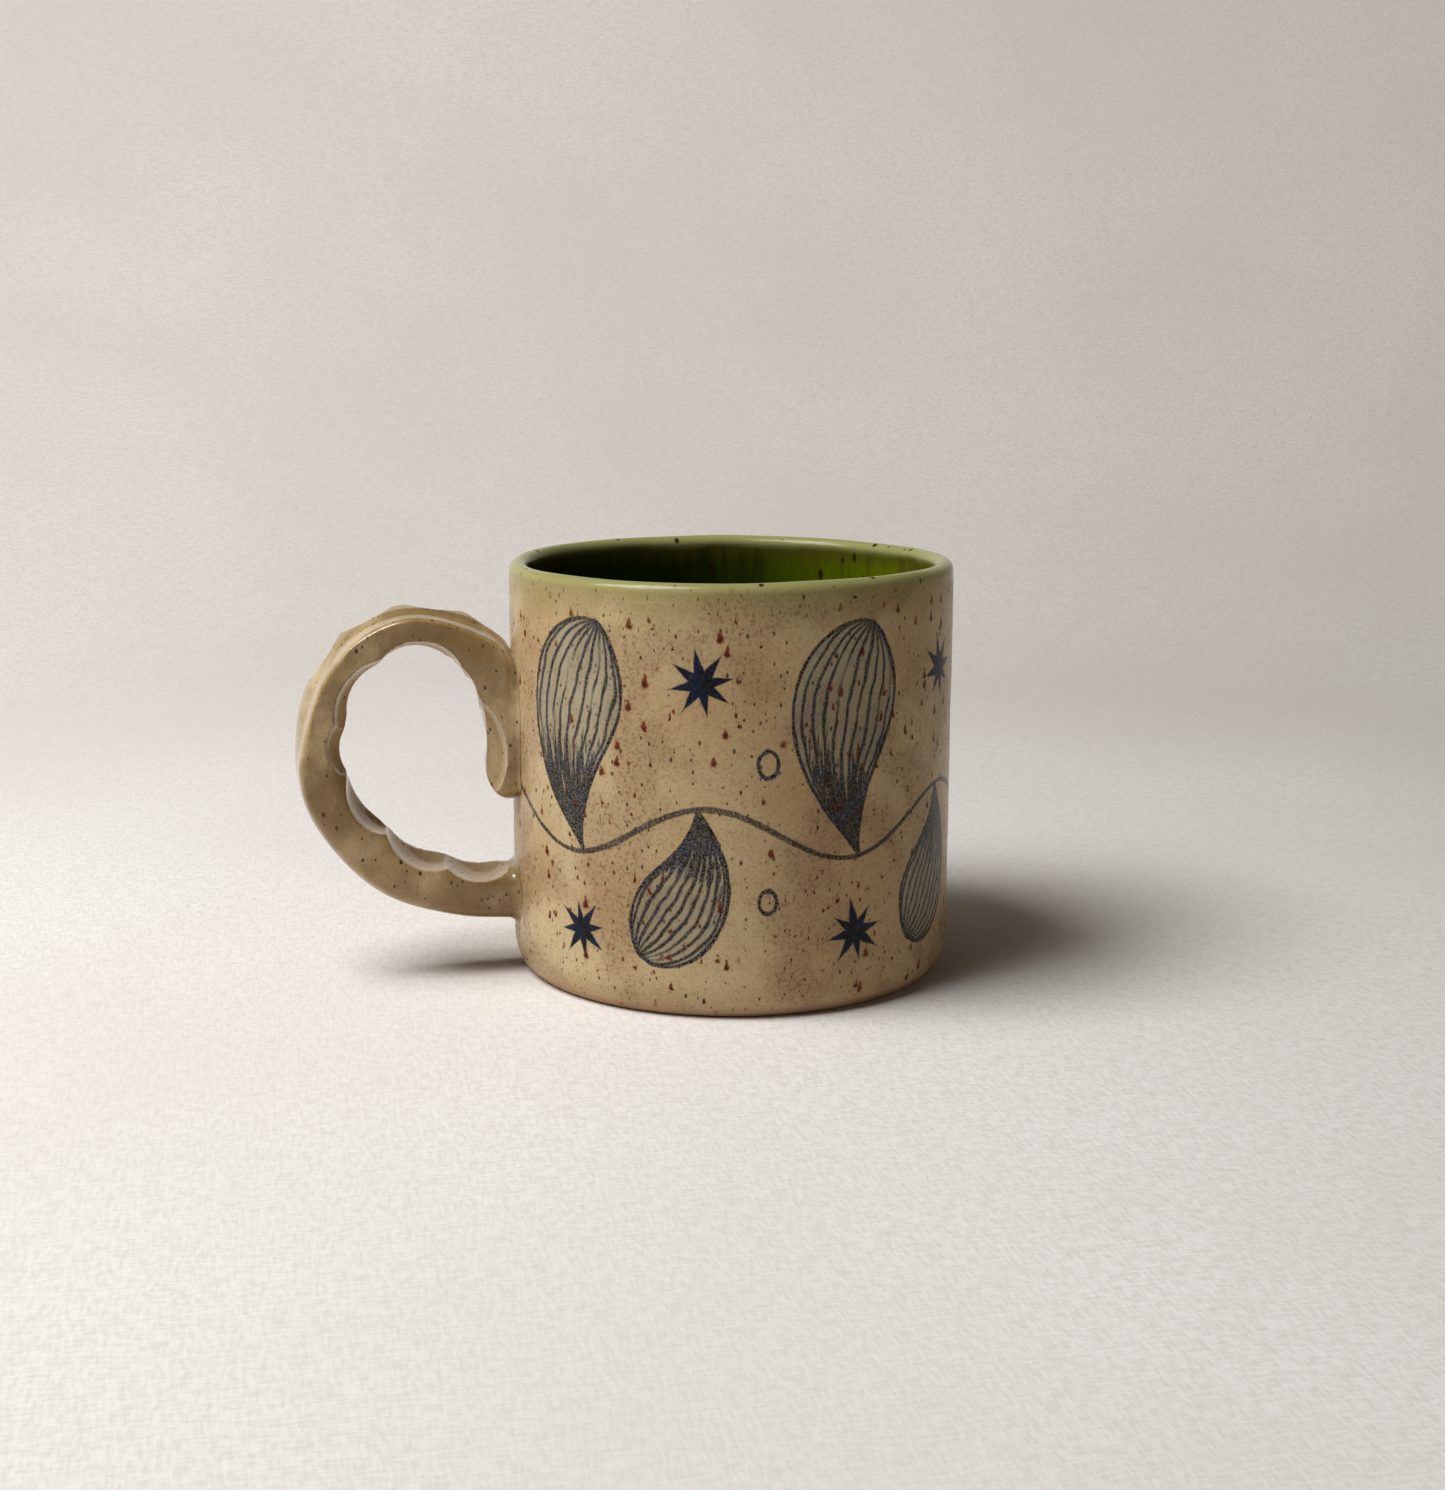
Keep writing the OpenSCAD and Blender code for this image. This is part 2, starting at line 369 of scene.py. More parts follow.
def iron_clay(r, tears=True):
    """Buff clay seen through clear glaze: its colour, and how much of it is iron speck.

    A slow drift between two tans, sandy grain, patches of pinkish freckles, pinpoint specks
    and, with tears, rust spots that ran a little way as the glaze melted. A rust spot is
    drawn round a cell's point: a half round below it and a tail that narrows above it.
    """
    where = r.place()
    drift = r.noise(where, 0.035, 3)
    colour = r.mix(r.rise(drift, 0.35, 0.65), CLAY_PALE, CLAY_WARM)
    grain = r.noise(where, 3.2, 2, 0.7)
    colour = r.mix(r.rise(grain, 0.5, 0.76) * 0.55, colour, CLAY_SHADE)
    colour = r.mix(r.rise(grain, 0.46, 0.24) * 0.4, colour, CLAY_LIGHT)
    patch = r.rise(r.noise(where, 0.055, 2, 0.6), 0.47, 0.62)
    freckle = r.rise(r.noise(where, 1.35, 3, 0.7), 0.47, 0.7)
    colour = r.mix(patch * 0.26, colour, FRECKLE)
    colour = r.mix((0.38 + patch * 0.62) * freckle * 0.7, colour, FRECKLE)

    cells = {"Vector": r.place((1, 1, 0.6)), "Scale": 0.85}
    near = r.node("ShaderNodeTexVoronoi", (), cells) / 0.85
    lot = r.parts(r.node("ShaderNodeTexVoronoi", (), cells, out="Color"))[0]
    pin = r.rise(near - lot * lot * 0.24, 0.09, 0.02)
    colour = r.mix(pin * 0.8, colour, PINPOINT)
    specks = pin

    if tears:
        rough_edge = r.noise(where, 1.7, 2) - 0.5
        cells = {"Vector": r.place((1, 1, 0.42)), "Scale": 0.56}
        point = r.node("ShaderNodeTexVoronoi", (), cells, out="Position")
        apart = r.node(
            "ShaderNodeVectorMath", {"operation": "SUBTRACT"}, {0: r.place((1, 1, 0.42)), 1: point}
        )
        across_x, across_y, up = r.parts(apart)
        lot = r.parts(r.node("ShaderNodeTexVoronoi", (), cells, out="Color"))
        size = 0.15 + lot[1] * lot[1] * lot[1] * 0.6
        above = (up * 2.4).largest(0)
        below = (up * 2.4).smallest(0)
        reach = across_x * across_x + across_y * across_y + below * below
        reach = reach.root() + rough_edge * 0.9
        width = size * (1 - above / (size * 3.4)).largest(0.02)
        tear = r.rise(reach / width, 1.15, 0.7)
        halo = r.rise(reach / width, 2.4, 0.9)
        core = r.rise(reach / width, 0.85, 0.25) * r.rise(above, 1.1, 0.1)
        colour = r.mix(halo * 0.14, colour, RUST_HALO)
        colour = r.mix(tear * 0.9, colour, RUST)
        colour = r.mix(core * 0.75, colour, RUST_DARK)
        specks = specks.largest(tear)
    return colour, specks


CLAY_PALE, CLAY_WARM = pigment(200, 179, 140), pigment(188, 161, 121)
CLAY_LIGHT, CLAY_SHADE = pigment(214, 190, 142), pigment(138, 108, 62)
FRECKLE, PINPOINT = pigment(126, 92, 62), pigment(52, 30, 16)
RUST, RUST_DARK, RUST_HALO = pigment(122, 52, 22), pigment(52, 20, 10), pigment(160, 112, 66)
BARE = pigment(190, 158, 128)

clay = Recipe("bare_clay")
clay_colour, _ = iron_clay(clay)
clay_colour = clay.mix(0.6, clay_colour, BARE)
sand = clay.noise(clay.place(), 4.0, 3, 0.7)
bare_clay = clay.finish(clay_colour, 0.82, sand, 0.06)
for piece in (base_disc, wall, seam_coil):
    piece.data.materials.append(bare_clay)
    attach(piece, "root")
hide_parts("base_disc")
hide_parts("wall")
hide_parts("seam_coil")

# ---------------------------------------------------------------------------------------
# Pencil drawing. A plain vine runs round the wall as a slow wave. One teardrop leaf stands
# in each hollow of the wave and one hangs from each crest, with stars and rings between
# them; the crest under the handle has none. It is drawn on the raw clay with a blue
# pencil, and here it is laid out, in degrees round the wall from the front and mm up.

repeats = 5
pitch = 360 / repeats
first_hollow = -54
vine_middle, vine_swing = 34, 5


def vine_z(angle):
    """Height of the vine at an angle: a cosine wave, lowest in the hollows."""
    return vine_middle - vine_swing * cos(radians(repeats * (angle - first_hollow)))


# Each leaf is where it leaves the vine, where its middle bends, its far end, half its width,
# and how pointed the far end is, from 0.5 for a round one. A spot is where it is and its
# radius; a ring has the radius across and the radius up.
leaves, stars, rings = [], [], []
for turn_number in range(repeats):
    hollow = first_hollow + turn_number * pitch
    crest = hollow + pitch / 2
    vary = sin(2.4 * turn_number + 0.5)
    leaves.append([
        (hollow + 3, vine_z(hollow + 3)), (hollow - 8 - 3 * vary, 50),
        (hollow + 5 + 7 * vary, 71.5), 10.4 + 0.8 * vary, 0.64 + 0.12 * vary,
    ])
    stars.append([hollow + 2, 15.5 - 2 * vary, 6.2 - 1.5 * vary])
    if turn_number == repeats - 1:
        break
    leaves.append([
        (crest - 2, vine_z(crest - 2)), (crest + 5 * vary, 24),
        (crest - 15 - 4 * vary, 11.5), 8.4 - 0.6 * vary, 0.62 - 0.1 * vary,
    ])
    stars.append([crest - 1, 60 + 3 * vary, 5.8 + 0.7 * vary])
    rings.append([crest + 15, 48 - 2 * vary, 1.8, 2.4])
    rings.append([crest + 15, 21 + 2 * vary, 1.6, 2.1])


def beside(points, line):
    """For each point, the nearest place on a line of short straight pieces: how far along
    the line it is, from 0 to 1, and the distance to it, positive on the line's left."""
    start, step = line[:-1], np.diff(line, axis=0)
    from_start = points[:, None] - start
    t = np.clip((from_start * step).sum(-1) / (step**2).sum(-1), 0, 1)
    gap = from_start - t[..., None] * step
    nearest = (gap**2).sum(-1).argmin(1)
    row = np.arange(len(points))
    t, gap, step = t[row, nearest], gap[row, nearest], step[nearest]
    left = np.sign(step[:, 0] * gap[:, 1] - step[:, 1] * gap[:, 0])
    return (nearest + t) / len(start), np.hypot(*gap.T) * left


def leaf_half(u, half, pointed):
    """Half the width of a leaf at u, from its stem at 0 to its far end at 1: u to one power
    times 1 - u to another, scaled so that its greatest value is half."""
    neck = 1.15 + (pointed - 0.5) * 1.6
    widest = neck / (neck + pointed)
    shape = np.clip(u, 0, 1) ** neck * np.clip(1 - u, 0, 1) ** pointed
    return half * shape / (widest**neck * (1 - widest) ** pointed)


def unrolled(grid, middle):
    """The wall laid flat: mm round it from a middle angle, and mm up."""
    angle = np.arctan2(grid[..., 0], -grid[..., 1]) - radians(middle)
    return np.stack([body_r * ((angle + pi) % (2 * pi) - pi), grid[..., 2]], -1).reshape(-1, 2)


def flat_points(knots, middle):
    """Knots given as degrees round and mm up, laid flat like the wall."""
    return np.array([(body_r * radians(a - middle), z) for a, z in knots])


def lay_leaf(grid, leaf):
    """For each point of the wall: mm outside the leaf's outline (negative inside), how far
    along its middle, and how far across as a share of half its width; then that half."""
    start, bend, end, half, pointed = leaf
    wall_points = unrolled(grid, bend[0])
    rib_knots = flat_points([start, bend, end], bend[0])
    u = np.linspace(0, 1, 49)[:, None]
    rib = (1 - u) ** 2 * rib_knots[0] + 2 * u * (1 - u) * rib_knots[1] + u**2 * rib_knots[2]
    tangent = np.gradient(rib, axis=0)
    side = np.stack([-tangent[:, 1], tangent[:, 0]], -1) / np.hypot(*tangent.T)[:, None]
    outline = np.vstack([
        rib + side * leaf_half(u, half, pointed),
        (rib - side * leaf_half(u, half, pointed))[-2::-1],
    ])
    length = np.hypot(*np.diff(rib, axis=0).T).sum()
    close = np.hypot(*(wall_points - rib[30]).T) < length * 0.75
    far = 99.0
    table = np.full((len(wall_points), 4), far)
    along, across = beside(wall_points[close], rib)
    outside = np.abs(beside(wall_points[close], outline)[1])
    width = leaf_half(along, half, pointed)
    inside = (np.abs(across) < width) & (along > 0) & (along < 1)
    table[close, 0] = np.where(inside, -outside, outside)
    table[close, 1] = along
    table[close, 2] = np.clip(across / np.maximum(width, 0.05), -3, 3)
    table[close, 3] = width
    return table


def lay_vine(grid):
    """For each point of the wall, mm from the vine's middle: how far above it the point is,
    made less by the vine's slope there."""
    turn = repeats * (np.arctan2(grid[..., 0], -grid[..., 1]) - radians(first_hollow))
    above = grid[..., 2] - (vine_middle - vine_swing * np.cos(turn))
    slope = vine_swing * repeats / body_r * np.sin(turn)
    return above / np.sqrt(1 + slope**2)


def lay_spot(grid, spot):
    """For each point of the wall, its place in mm from a star's or a ring's middle. A ring's
    is squeezed to make it round, and its size is given as negative."""
    angle, height, wide = spot[:3]
    place = unrolled(grid, angle) - (0, height)
    if len(spot) == 3:
        return np.column_stack([place, np.full(len(place), wide)])
    return np.column_stack([place * (1, wide / spot[3]), np.full(len(place), -wide)])


def store(mesh, name, values):
    """One number for each vertex of a grid, nought on any pole points."""
    layer = mesh.attributes.new(name, "FLOAT", "POINT")
    full = np.zeros(len(mesh.vertices), np.float32)
    full[: values.size] = values.ravel()
    layer.data.foreach_set("value", full)


def put_on_corners(mesh, name, tables):
    """Stores, on each face's corners, the table of vertex values whose motif is nearest to
    the face. Each table comes with its distances. A face never mixes two tables, so a
    pattern that is read from them stays sharp."""
    corner = np.empty(len(mesh.loops), int)
    mesh.loops.foreach_get("vertex_index", corner)
    starts = np.empty(len(mesh.polygons), int)
    mesh.polygons.foreach_get("loop_start", starts)
    face = np.searchsorted(starts, np.arange(len(corner)), side="right") - 1
    nearness = np.stack([t[1] for t in tables])
    by_face = np.stack([np.bincount(face, n[corner]) for n in nearness])
    chosen = by_face.argmin(0)[face]
    values = np.stack([t[0] for t in tables])[chosen, corner]
    wide = values.shape[-1] == 3
    layer = mesh.attributes.new(name, "FLOAT_VECTOR" if wide else "FLOAT", "CORNER")
    layer.data.foreach_set("vector" if wide else "value", values.astype(np.float32).ravel())


# ---------------------------------------------------------------------------------------
# Clear glaze. The wall's coat is dipped over the drawing, and wiped off just above the
# table. It is one thin shell from the bare foot to the green at the lip, and shows the
# clay, the iron and the pencil under it.

coat_z = np.concatenate([np.linspace(bare_h, 8, 24)[:-1], np.linspace(8, seam_z, 156)])
coat_z = np.insert(coat_z, [1, -1], [bare_h + 0.06, seam_z - 0.06])
coat_profile = np.vstack([
    np.stack([clay_edge(coat_z) + glaze_t, coat_z], -1),
    np.stack([clay_edge(coat_z[::-40]) - 0.15, coat_z[::-40]], -1),
])
coat_grid = by_hand(turned(coat_profile, 512))
coat = skin("body_clear_glaze", coat_grid * MM, joined_ends=True)

store(coat.data, "vine", lay_vine(coat_grid))
leaf_tables = [lay_leaf(coat_grid, leaf) for leaf in leaves]
leaf_gap = [np.maximum(t[:, 0], -0.5) for t in leaf_tables]
put_on_corners(coat.data, "leaf", [(t[:, :3], g) for t, g in zip(leaf_tables, leaf_gap)])

# Each leaf's number is carried with its width, as so many whole tags.
LEAF_TAG = 100
leaf_width = [t[:, 3:] + LEAF_TAG * i for i, t in enumerate(leaf_tables)]
put_on_corners(coat.data, "leaf_width", list(zip(leaf_width, leaf_gap)))
spot_tables = [lay_spot(coat_grid, spot) for spot in stars + rings]
put_on_corners(coat.data, "spot", [(t, np.hypot(t[:, 0], t[:, 1])) for t in spot_tables])

INK, INK_BLUE, INK_TEAL = pigment(2, 8, 22), pigment(8, 34, 66), pigment(14, 52, 82)
LEAF_TINT = pigment(118, 130, 124)


def pencil(r):
    """The drawing: how much pencil there is, its colour, and how much the leaves are tinted.

    A line is dark where the distance to its middle is under half its width, both a little
    unsteady, and breaks up into grains. A leaf has an outline, nine lines along it at even
    shares of its width, and strokes that close up towards its stem. A star is eight
    triangular rays of uneven length about a middle.
    """
    where = r.place()
    shake = r.noise(where, 0.9, 2) - 0.5
    press = r.noise(where, 0.16, 2)
    grain = r.rise(r.noise(where, 3.0, 2, 0.75), 0.36, 0.56)

    outside, along, across = r.parts(r.stored("leaf"))
    tagged = r.stored("leaf_width", "Fac")
    leaf_number = (tagged / LEAF_TAG).floor()
    half = tagged - leaf_number * LEAF_TAG
    inside = r.rise(outside, 0.05, -0.15)
    outline_half = 0.14 + press * 0.42
    outline = r.rise(abs(outside + shake * 0.3) - outline_half, 0.14, -0.12)

    wander = r.noise(r.vector(along * 5, across * 1.5, leaf_number * 7.7), 1, 2) - 0.5
    phase = across * 4.6 + wander * 1.1
    line_number = phase.nearest_whole()
    gap = abs(phase - line_number) * half / 4.6 + shake * 0.16
    fade = r.noise(r.vector(along * 3.2, line_number * 3.7, leaf_number * 5.3), 1, 2)
    line = r.rise(gap - fade * 0.3, 0.34, 0.02) * r.rise(fade, 0.22, 0.42)

    streak = r.noise(r.vector(along * 9, across * half * 2.2, leaf_number * 3.1), 1, 3, 0.6)
    ragged = r.noise(r.vector(along * 2, across * 4, leaf_number * 9.1), 1, 2) - 0.5
    closing = r.rise(along + ragged * 0.7, 0.66, 0.1)
    strokes = r.rise(streak + closing * 0.52, 0.62, 0.84)
    leaf = outline.largest((line * 0.95).largest(strokes * 0.95) * inside)

    aside = r.stored("vine", "Fac")
    stem_press = r.noise(where, 0.09, 1)
    stem_half = 0.16 + stem_press * 0.62
    stem = r.rise(abs(aside + shake * 0.4) - stem_half, 0.2, -0.14) * (1.15 - stem_press * 0.5)

    x, y, size = r.parts(r.stored("spot"))
    reach = (x * x + y * y).root()
    turn = (x.angle_from(y) + size * 0.03) * (4 / pi)
    ray = turn.nearest_whole()
    lot = r.node(
        "ShaderNodeTexWhiteNoise", {"noise_dimensions": "2D"},
        {"Vector": r.vector((ray * (pi / 4)).cosine(), size, 0)},
    )
    bend = abs(turn - ray) * (pi / 4)
    scaled = reach / abs(size) * (1.14 - lot * 0.26)
    valley = 0.4
    edge_x = valley * cos(pi / 8) - 1
    edge_y = valley * sin(pi / 8)
    edge_length = (edge_x**2 + edge_y**2) ** 0.5
    beyond = (scaled * bend.cosine() - 1) * (edge_y / edge_length)
    beyond = beyond - scaled * bend.sine() * (edge_x / edge_length)
    star = r.rise(beyond * abs(size) + shake * 0.25, 0.16, -0.12) * r.rise(size, 0, 0.1)
    ring = r.rise(abs(reach + size + shake * 0.4), 0.46, 0.2) * r.rise(size, 0, -0.1)

    marks = leaf.largest(stem).largest(ring)
    amount = marks * (0.52 + grain * 0.48)
    amount = amount.largest(star * (0.94 + grain * 0.06))
    blue = r.rise(r.noise(where, 0.3, 2), 0.42, 0.66)
    colour = r.mix(blue * 0.8, INK, INK_BLUE)
    teal = r.rise(r.noise(where, 0.8, 2), 0.55, 0.75) * closing * inside
    colour = r.mix(teal * 0.6, colour, INK_TEAL)
    tint = inside * (0.35 + streak * 0.6)
    return amount, colour, tint


def lip_haze(r, colour):
    """Green that the lining's fumes and runs leave on the coat, strongest at the lip."""
    where = r.place()
    height = r.parts(where)[2]
    cloud = r.noise(r.place((1, 1, 0.5)), 0.12, 3) - 0.5
    haze = r.rise(height + cloud * 9, 69, 77.2)
    colour = r.mix(haze * 0.5, colour, HAZE)
    return r.mix(r.rise(height + cloud * 1.5, 75.8, 78.2) * 0.6, colour, LIP)


HAZE, LIP = pigment(138, 130, 74), pigment(152, 148, 96)

glaze = Recipe("clear_glaze_over_drawing")
glaze_where = glaze.place()
glaze_clay, glaze_specks = iron_clay(glaze)
mark, mark_colour, tint = pencil(glaze)
drawn = glaze.mix(tint * 0.6, glaze_clay, LEAF_TINT)
drawn = glaze.mix(mark, drawn, mark_colour)
drawn = glaze.mix(glaze_specks * (1 - mark * 0.7), drawn, glaze_clay)
drawn = lip_haze(glaze, drawn)
glaze_height = glaze.parts(glaze_where)[2]
thin = glaze.rise(glaze_height + (glaze.noise(glaze_where, 0.09, 3) - 0.5) * 5, 3.4, 1.4)
drawn = glaze.mix(thin * 0.55, drawn, BARE)
ripple = glaze.noise(glaze_where, 0.35, 2) * 0.8 + glaze.noise(glaze_where, 2.4, 2) * 0.2
glaze_rough = 0.2 + thin * 0.4 + glaze.noise(glaze_where, 0.5, 2) * 0.12
coat.data.materials.append(
    glaze.finish(drawn, glaze_rough, ripple, 0.05, {"Specular IOR Level": 0.2})
)
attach(coat, "root")
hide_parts("body_glaze")

# ---------------------------------------------------------------------------------------
# Green lining. A moss green glaze poured in and rolled round: it is darker towards the floor,
# darker on the handle's side as painted shade and lighter on the far side as painted light,
# thins to brown and cream as it breaks over the lip, and shows iron specks.

floor_r = inside_r - coil_r
lining_z = np.linspace(base_t + coil_r, lip_z, 90)
lining_profile = np.vstack([
    np.stack([np.linspace(0.01, floor_r, 24), np.full(24, base_t + glaze_t)], -1),
    arc((floor_r, base_t + coil_r), coil_r - glaze_t, -88, -2, 10),
    np.stack([np.full(90, inside_r - glaze_t), lining_z], -1),
    arc((lip_mid_r, lip_z), lip_r + glaze_t, 178, 2, 40),
    [(body_r, lip_z), (body_r, seam_z + 0.75), (body_r, seam_z + 0.06), (body_r, seam_z)],
    [(clay_r - 0.1, seam_z), (clay_r - 0.1, lip_z)],
    arc((lip_mid_r, lip_z), lip_r - 0.1, 2, 178, 10),
    [(inside_r + 0.1, lip_z), (inside_r + 0.1, base_t + coil_r)],
    arc((floor_r, base_t + coil_r), coil_r + 0.05, -2, -88, 6),
    [(floor_r, base_t), (0.01, base_t)],
])
lining = skin("green_lining", by_hand(turned(lining_profile, 400)) * MM, poles=True)

# The brightest green is painted light, for the lit far side of the inside.
GREEN, GREEN_DEEP, GREEN_PAINTED_LIGHT = pigment(34, 44, 4), pigment(10, 18, 3), pigment(108, 118, 8)
LIP_BROWN = pigment(84, 74, 26)

moss = Recipe("green_glaze")
moss_where = moss.place()
moss_height = moss.parts(moss_where)[2]
moss_x, moss_y, _ = moss.parts(moss_where)
run = moss.noise(moss.place((1, 1, 0.12)), 0.42, 4, 0.6)
cloud = moss.noise(moss_where, 0.08, 3)
# Painted light and shade: by x, the green goes from dark on the handle's side, in shade, to bright
# on the lit far side.
painted_light_right = moss.rise(moss_x + (run - 0.5) * 40, -4, 46)
green = moss.mix(painted_light_right, GREEN, GREEN_PAINTED_LIGHT)
green = moss.mix(moss.rise(run, 0.46, 0.7) * 0.4, green, GREEN_DEEP)
green = moss.mix(moss.rise(moss_height, 30, 5) * 0.6, green, GREEN_DEEP)
break_z = moss_height + (run - 0.5) * 7
green = moss.mix(moss.rise(break_z, 72.5, 77) * 0.7, green, LIP_BROWN)
lip_cream = moss.rise(moss_height + (cloud - 0.5) * 2, 76.2, 78.2)
green = moss.mix(lip_cream * 0.9, green, LIP)
outside_lip = moss.rise(moss_x * moss_x + moss_y * moss_y, lip_mid_r**2, (body_r - 0.5) ** 2)
outer = lip_haze(moss, iron_clay(moss)[0])
green = moss.mix(outside_lip * moss.rise(moss_height, 79.0, 77.6), green, outer)
iron_cells = {"Vector": moss.place((1, 1, 0.5)), "Scale": 0.3}
iron_near = moss.node("ShaderNodeTexVoronoi", (), iron_cells) / 0.3
iron_lot = moss.parts(moss.node("ShaderNodeTexVoronoi", (), iron_cells, out="Color"))[1]
iron = moss.rise(iron_near - iron_lot * 0.55, 0.25, 0.0)
green = moss.mix(iron * 0.9, green, PINPOINT)
moss_ripple = moss.noise(moss_where, 0.3, 2) * 0.7 + moss.noise(moss_where, 1.8, 2) * 0.3
lining.data.materials.append(
    moss.finish(green, 0.12 + cloud * 0.08, moss_ripple, 0.06, {"Specular IOR Level": 0.18})
)
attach(lining, "root")
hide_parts("liner_glaze")

# ---------------------------------------------------------------------------------------
# Handle. One thick coil of clay, bent into a loop whose upper end runs down the wall as a
# flat tail, then scooped all over with a round tool and pressed on with slip. The clear
# coat covers it, thin and pale on the sharp edges between scoops, and a painted highlight
# makes those edges paler still.

# How far out from the wall, how high, how thick, and how far to the back, all in mm.
HANDLE_KNOTS = [
    [-2.5, 15.2, 9.5, 0.8], [2, 15.3, 9.5, 0.8], [11, 16.5, 9.9, 0.6], [20, 19.3, 9.9, 0.3],
    [27.5, 24.8, 9.5, 0], [33.2, 31.8, 9.3, 0], [36.4, 40, 9.1, 0], [36.3, 48.6, 8.4, 0],
    [33.6, 56.8, 8, 0], [28, 63.6, 8, 0], [20, 67.1, 7.8, 0], [11.8, 65.8, 8.5, 0],
    [5.4, 61.2, 10.4, 0], [2.4, 52.8, 7.4, 0], [1.9, 44.6, 5.9, 0], [1.9, 38.6, 6.1, 0],
    [0.9, 34.6, 3.6, 0],
]
# Each scoop: where along the knots, which way it faces in degrees (0 to the fingers, 90 to
# the back, 180 outside, -90 to the front), how far it is moved to the back, the tool's
# radius, how much longer than that it is across the handle, and how deep it goes.
SCOOPS = [
    [1.75, 0, -4, 9.5, 2, 2.5], [3.25, 0, -4, 9.5, 1.8, 2.6], [4.95, 0, -4, 9, 1.6, 2.4],
    [6.75, 0, -6, 6.5, 0.9, 3.4], [6.6, 0, 2, 9, 1.5, 1.1], [8.1, 0, -5.5, 11, 0.8, 3.2],
    [8.3, 0, 2, 10, 1.5, 1.1], [10.4, 0, -5, 9, 1, 2.6], [10.1, 0, 2, 10, 1.6, 0.9],
    [11.7, 0, -2, 8, 1.6, 1.6], [12.8, 0, 1, 6, 2, 1], [14.2, 0, -6.5, 15, 0.5, 3.3],
    [14, 0, 3, 11, 1.4, 0.5], [8.3, 165, 3, 26, 1.2, 0.35], [9.4, 165, 3, 26, 1.2, 0.4],
    [10.5, 165, 3, 24, 1.2, 0.4], [11.6, 165, 3, 20, 1.2, 0.5], [3.7, -104, 0, 19, 1, 0.45],
    [5.6, -98, 0, 20, 1, 0.4], [7.3, -92, 0, 17, 1, 0.4], [8.9, -88, 0, 15, 1, 0.4],
]
handle_w = (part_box("handle")[1][1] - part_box("handle")[0][1]) / MM
last_knot = len(HANDLE_KNOTS) - 1


def curve_through(knots, steps):
    """A smooth line through knots: the Catmull-Rom cubic between each two of them."""
    p = np.asarray(knots, float)
    p = np.vstack([2 * p[0] - p[1], p, 2 * p[-1] - p[-2]])
    f = np.linspace(0, 1, steps, endpoint=False)[:, None]
    a, b, c, d = (p[i : len(p) - 3 + i, None] for i in range(4))
    line = 0.5 * (2 * b + (c - a) * f + (2 * a - 5 * b + 4 * c - d) * f**2
                  + (3 * b - a - 3 * c + d) * f**3)
    return np.vstack([line.reshape(-1, p.shape[1]), p[-2]])


per_knot = 64
coil_line = curve_through(HANDLE_KNOTS, per_knot)
coil_place = np.stack([-body_r - coil_line[:, 0], coil_line[:, 3], coil_line[:, 1]], -1)
coil_onward = np.gradient(coil_place, axis=0) * (1, 0, 1)
coil_onward /= np.linalg.norm(coil_onward, axis=-1, keepdims=True)


def section(u, turns, coat=0.0):
    """The uncarved coil: at each u its middle, the direction of each point of a ring away
    from that, and how far away the point is.

    A section is a rounded box, |x/a|^n + |y/b|^n = 1: n is large where the outer edges are
    crisp, and there the outside slopes down towards the front. Angle 0 is towards the
    fingers, 90 to the back. The tail's tip is rounded off.
    """
    table = np.hstack([coil_place, coil_onward, coil_line[:, 2:3]])
    at, steps = np.asarray(u, float) * per_knot, np.arange(len(table))
    found = np.stack([np.interp(at, steps, column) for column in table.T], -1)
    place, onward, thick = found[:, :3], found[:, 3:6], found[:, 6]
    inward = onward[:, [2, 1, 0]] * (1, 0, -1)
    tip = np.sqrt(1 - (np.clip(u - last_knot + 0.5, 0, 0.5) / 0.505) ** 2)
    c, s = np.cos(turns), np.sin(turns)
    crisp = np.clip((u - 5.2) / 2, 0, 1) * np.clip((13.5 - u) / 2, 0, 1)
    square = 3.6 + np.clip(0.5 - 2 * c, 0, 1) * (5.5 * crisp[:, None] - 1)
    half_in = (tip * thick / 2 + coat)[:, None]
    sloped = 0.44 * crisp[:, None] * np.clip(-3 * c, 0, 1) * (1 - s) / 2
    half_side = (tip * handle_w / 2 + coat)[:, None]
    box = np.abs(c / half_in / (1 - sloped)) ** square + np.abs(s / half_side) ** square
    reach = box ** (-1 / square)
    away = inward[:, None] * c[:, None] + np.stack([0 * s, s, 0 * s], -1)
    middle = place + onward * ((coat + 0.6) * (1 - tip))[:, None]
    return middle[:, None], away, reach


